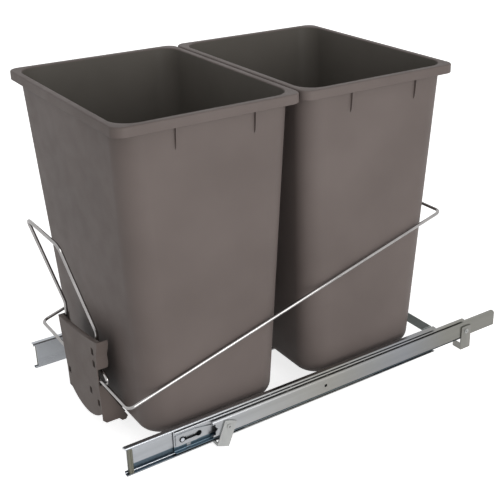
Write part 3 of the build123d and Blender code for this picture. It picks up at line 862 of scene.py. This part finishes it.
def build_pocket_floors(settings):
    """Closes the bracket's slots from behind as pockets of painted shade, and sets a fin of it inside its
    right side wall.
    """
    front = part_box("front_bin")[0].y
    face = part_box("front_bracket")[0].y
    mesh = bmesh.new()
    for x, z in BRACKET_SLOTS:
        low = (x - SLOT_HALF[0], face + BRACKET_WALL + POCKET_GAP, z - SLOT_HALF[1])
        high = (x + SLOT_HALF[0], low[1] + POCKET_FLOOR, z + SLOT_HALF[1])
        add_plate(mesh, low, high)
    planes = []
    for x in (BRACKET_SHADE_FIN_X, BRACKET_SHADE_FIN_X + BRACKET_SHADE_FIN_THICKNESS):
        planes.append([Vector((x, front + y, z)) for y, z in BRACKET_SHADE_FIN])
    bridge(mesh, planes, close_first=True, close_last=True)
    look = (bracket_shade, "bracket_plastic")
    return finish_piece(mesh, "bracket_shade_plates", "carriage", *look, [], settings)


class OBJECT_OT_binframe_bins(bpy.types.Operator):
    """Builds both tall bins over their CAD solids"""

    bl_idname = "object.binframe_bins"
    bl_label = "Build bins"

    def execute(self, context):
        for node in ("front_bin", "rear_bin"):
            build_bin(node, context.scene.bin_frame)
        return {"FINISHED"}


class OBJECT_OT_binframe_wires(bpy.types.Operator):
    """Builds the hoop, the handle and the two base wires"""

    bl_idname = "object.binframe_wires"
    bl_label = "Build wires"

    def execute(self, context):
        settings = context.scene.bin_frame
        hoop = rounded_path(place(HOOP_ROUTE), [settings.hoop_bend] * (len(HOOP_ROUTE) - 2))
        build_wire("hoop", "hoop_wire", hoop, settings)
        legs = place(HANDLE_LEG) + place(HANDLE_LEG, -1)[::-1]
        handle = rounded_path(legs, HANDLE_BENDS + HANDLE_BENDS[::-1])
        build_wire("handle", "handle_wire", handle, settings)
        for name, side in SIDES.items():
            route = rounded_path(place(BASE_ROUTE, side), BASE_BENDS)
            build_wire("base_run_" + name, "base_wire_" + name, route, settings)
        return {"FINISHED"}


class OBJECT_OT_binframe_bracket(bpy.types.Operator):
    """Finishes the moulded front bracket"""

    bl_idname = "object.binframe_bracket"
    bl_label = "Finish bracket"

    def execute(self, context):
        settings = context.scene.bin_frame
        carry_over("front_bracket", bracket_moulding, settings, edge=0.0005)
        build_pocket_floors(settings)
        return {"FINISHED"}


class OBJECT_OT_binframe_slides(bpy.types.Operator):
    """Finishes the rails, cages, balls, latches and bumpers"""

    bl_idname = "object.binframe_slides"
    bl_label = "Finish slides"

    def execute(self, context):
        settings = context.scene.bin_frame
        for name in SIDES:
            carry_over("carriage_rail_" + name, carriage_zinc, settings)
            carry_over("middle_rail_" + name, middle_zinc, settings)
            carry_over("cabinet_rail_" + name, zinc_plate, settings)
            for kind in ("outer_ball_cage_", "inner_ball_cage_"):
                carry_over(kind + name, cage_strip, settings)
            for kind in ("outer_balls_", "inner_balls_"):
                carry_over(kind + name, ball_steel, settings)
            carry_over("latch_lever_" + name, zinc_plate, settings, edge=0.0002)
            carry_over("latch_pin_" + name, pin_plate, settings, edge=0.0002)
            build_bumper("end_bumper_" + name, settings)
        return {"FINISHED"}


class OBJECT_OT_binframe_feet(bpy.types.Operator):
    """Finishes the swivelling feet, their rivets and the crossbars"""

    bl_idname = "object.binframe_feet"
    bl_label = "Finish feet and crossbars"

    def execute(self, context):
        settings = context.scene.bin_frame
        for name in SIDES:
            carry_over("front_foot_" + name, satin_plate, settings, edge=0.0003)
            carry_over("rear_foot_" + name, rear_foot_plate, settings, edge=0.0003)
            carry_over("foot_rivets_" + name, satin_plate, settings, edge=0.0002)
        for node in ("front_crossbar", "rear_crossbar"):
            carry_over(node, dull_plate, settings, edge=0.0003)
        carry_over("crossbar_rivets", rivet_plate, settings, edge=0.0002)
        return {"FINISHED"}


# Stage


def seen_directly(tree, path):
    """One for rays of the camera, of reflections and through clear stuff, and nought for the even light."""
    most = path.outputs["Is Camera Ray"]
    for kind in ("Is Glossy Ray", "Is Transmission Ray"):
        most = arithmetic(tree, "MAXIMUM", most, path.outputs[kind])
    return most


def floor_paint():
    """Pale paint whose own light lifts it to the white of the background.

    Reflections see it lifted to about white, and the camera a little further, so that the shadow stays faint.
    """
    paint, tree, shader = new_material("floor_paint")
    shader.inputs["Roughness"].default_value = 0.8
    tone = ramp(tree, object_noise(tree, 3.0, 2.0), FLOOR_DARK, FLOOR_LIGHT)
    tree.links.new(tone, shader.inputs["Base Color"])
    path = tree.nodes.new("ShaderNodeLightPath")
    reflected = arithmetic(tree, "MULTIPLY", seen_directly(tree, path), LIFT_IN_REFLECTIONS)
    extra = arithmetic(tree, "MULTIPLY", path.outputs["Is Camera Ray"], LIFT_FOR_CAMERA)
    lift = tree.nodes.new("ShaderNodeEmission")
    tree.links.new(arithmetic(tree, "ADD", reflected, extra), lift.inputs["Strength"])
    total = tree.nodes.new("ShaderNodeAddShader")
    out = next(node for node in tree.nodes if node.type == "OUTPUT_MATERIAL")
    tree.links.new(shader.outputs["BSDF"], total.inputs[0])
    tree.links.new(lift.outputs["Emission"], total.inputs[1])
    tree.links.new(total.outputs["Shader"], out.inputs["Surface"])
    return paint


def build_floor():
    """A wide, level floor just under the frame."""
    mesh = bmesh.new()
    corners = []
    for x, y in ((-1, -1), (1, -1), (1, 1), (-1, 1)):
        corners.append(mesh.verts.new((x * FLOOR_HALF, y * FLOOR_HALF, FLOOR_HEIGHT)))
    mesh.faces.new(corners)
    data = bpy.data.meshes.new("floor")
    mesh.to_mesh(data)
    mesh.free()
    floor = bpy.data.objects.new("floor", data)
    bpy.context.scene.collection.objects.link(floor)
    data.materials.append(floor_paint())


def build_room(scene, settings):
    """Even light from all round, and a white background for the camera and for reflections."""
    world = bpy.data.worlds.new("room")
    scene.world = world
    world.use_nodes = True
    tree = world.node_tree
    tree.nodes.clear()
    out = tree.nodes.new("ShaderNodeOutputWorld")
    path = tree.nodes.new("ShaderNodeLightPath")
    mix = tree.nodes.new("ShaderNodeMixShader")
    tree.links.new(seen_directly(tree, path), mix.inputs["Fac"])
    for socket, strength in ((mix.inputs[1], settings.room), (mix.inputs[2], 1.0)):
        light = tree.nodes.new("ShaderNodeBackground")
        light.inputs["Color"].default_value = WHITE
        light.inputs["Strength"].default_value = strength
        tree.links.new(light.outputs["Background"], socket)
    tree.links.new(mix.outputs["Shader"], out.inputs["Surface"])


def build_lamps(settings):
    """A key lamp on the near side and a weak one from the left and the front."""
    for name, spot, aim, size, power in [
        ("key_lamp", (2.2, 0.0, 0.80), (0.0, 0.05, 0.20), 1.2, settings.key_power),
        ("fill_lamp", (-1.2, -1.9, 1.2), (0.0, 0.0, 0.25), 1.4, settings.fill_power),
    ]:
        light = bpy.data.lights.new(name, "AREA")
        light.shape = "SQUARE"
        light.size = size
        light.energy = power
        lamp = bpy.data.objects.new(name, light)
        lamp.location = spot
        lamp.rotation_mode = "QUATERNION"
        lamp.rotation_quaternion = (Vector(aim) - Vector(spot)).to_track_quat("-Z", "Y")
        bpy.context.scene.collection.objects.link(lamp)


def build_camera(scene):
    """The camera, turned by its yaw, pitch and roll, with the picture's middle off its axis."""
    level = Vector((math.cos(CAMERA_YAW), math.sin(CAMERA_YAW), 0.0))
    across, along = -math.sin(CAMERA_YAW), math.cos(CAMERA_YAW)
    flat = math.cos(CAMERA_PITCH)
    ahead = Vector((across * flat, along * flat, -math.sin(CAMERA_PITCH)))
    upright = level.cross(ahead)
    right = level * math.cos(CAMERA_ROLL) + upright * math.sin(CAMERA_ROLL)
    up = upright * math.cos(CAMERA_ROLL) - level * math.sin(CAMERA_ROLL)
    data = bpy.data.cameras.new("camera")
    data.sensor_width = SENSOR_WIDTH
    data.lens = FOCAL_PIXELS / PICTURE_PIXELS * SENSOR_WIDTH
    data.shift_x = (PICTURE_PIXELS / 2 - AXIS_PIXEL[0]) / PICTURE_PIXELS
    data.shift_y = (AXIS_PIXEL[1] - PICTURE_PIXELS / 2) / PICTURE_PIXELS
    data.clip_start = 0.05
    data.clip_end = 20.0
    camera = bpy.data.objects.new("camera", data)
    low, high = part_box("front_bin")
    spot = Vector(CAMERA_PLACE) + Vector((0.0, low.y, high.z))
    turn = Matrix((right, up, -ahead)).transposed().to_4x4()
    camera.matrix_world = Matrix.Translation(spot) @ turn
    scene.collection.objects.link(camera)
    scene.camera = camera


class OBJECT_OT_binframe_stage(bpy.types.Operator):
    """Sets up the floor, the lamps, the room and the camera"""

    bl_idname = "object.binframe_stage"
    bl_label = "Set the stage"

    def execute(self, context):
        scene = context.scene
        scene.view_settings.view_transform = "Standard"
        build_floor()
        build_room(scene, scene.bin_frame)
        build_lamps(scene.bin_frame)
        build_camera(scene)
        return {"FINISHED"}


class VIEW3D_PT_binframe(bpy.types.Panel):
    bl_label = "Bin frame"
    bl_idname = "VIEW3D_PT_binframe"
    bl_space_type = "VIEW_3D"
    bl_region_type = "UI"
    bl_category = "Bin frame"

    def draw(self, context):
        column = self.layout.column()
        for name in BinFrameSettings.__annotations__:
            column.prop(context.scene.bin_frame, name)
        for operator in OPERATORS:
            column.operator(operator.bl_idname)


OPERATORS = [
    OBJECT_OT_binframe_bins,
    OBJECT_OT_binframe_wires,
    OBJECT_OT_binframe_bracket,
    OBJECT_OT_binframe_slides,
    OBJECT_OT_binframe_feet,
    OBJECT_OT_binframe_stage,
]
CLASSES = [BinFrameSettings, *OPERATORS, VIEW3D_PT_binframe]


def register():
    for cls in CLASSES:
        bpy.utils.register_class(cls)
    bpy.types.Scene.bin_frame = bpy.props.PointerProperty(type=BinFrameSettings)


def unregister():
    del bpy.types.Scene.bin_frame
    for cls in reversed(CLASSES):
        bpy.utils.unregister_class(cls)


def main():
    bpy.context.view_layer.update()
    register()
    bpy.ops.object.binframe_bins()
    bpy.ops.object.binframe_wires()
    bpy.ops.object.binframe_bracket()
    bpy.ops.object.binframe_slides()
    bpy.ops.object.binframe_feet()
    bpy.ops.object.binframe_stage()


if __name__ == "__main__":
    main()
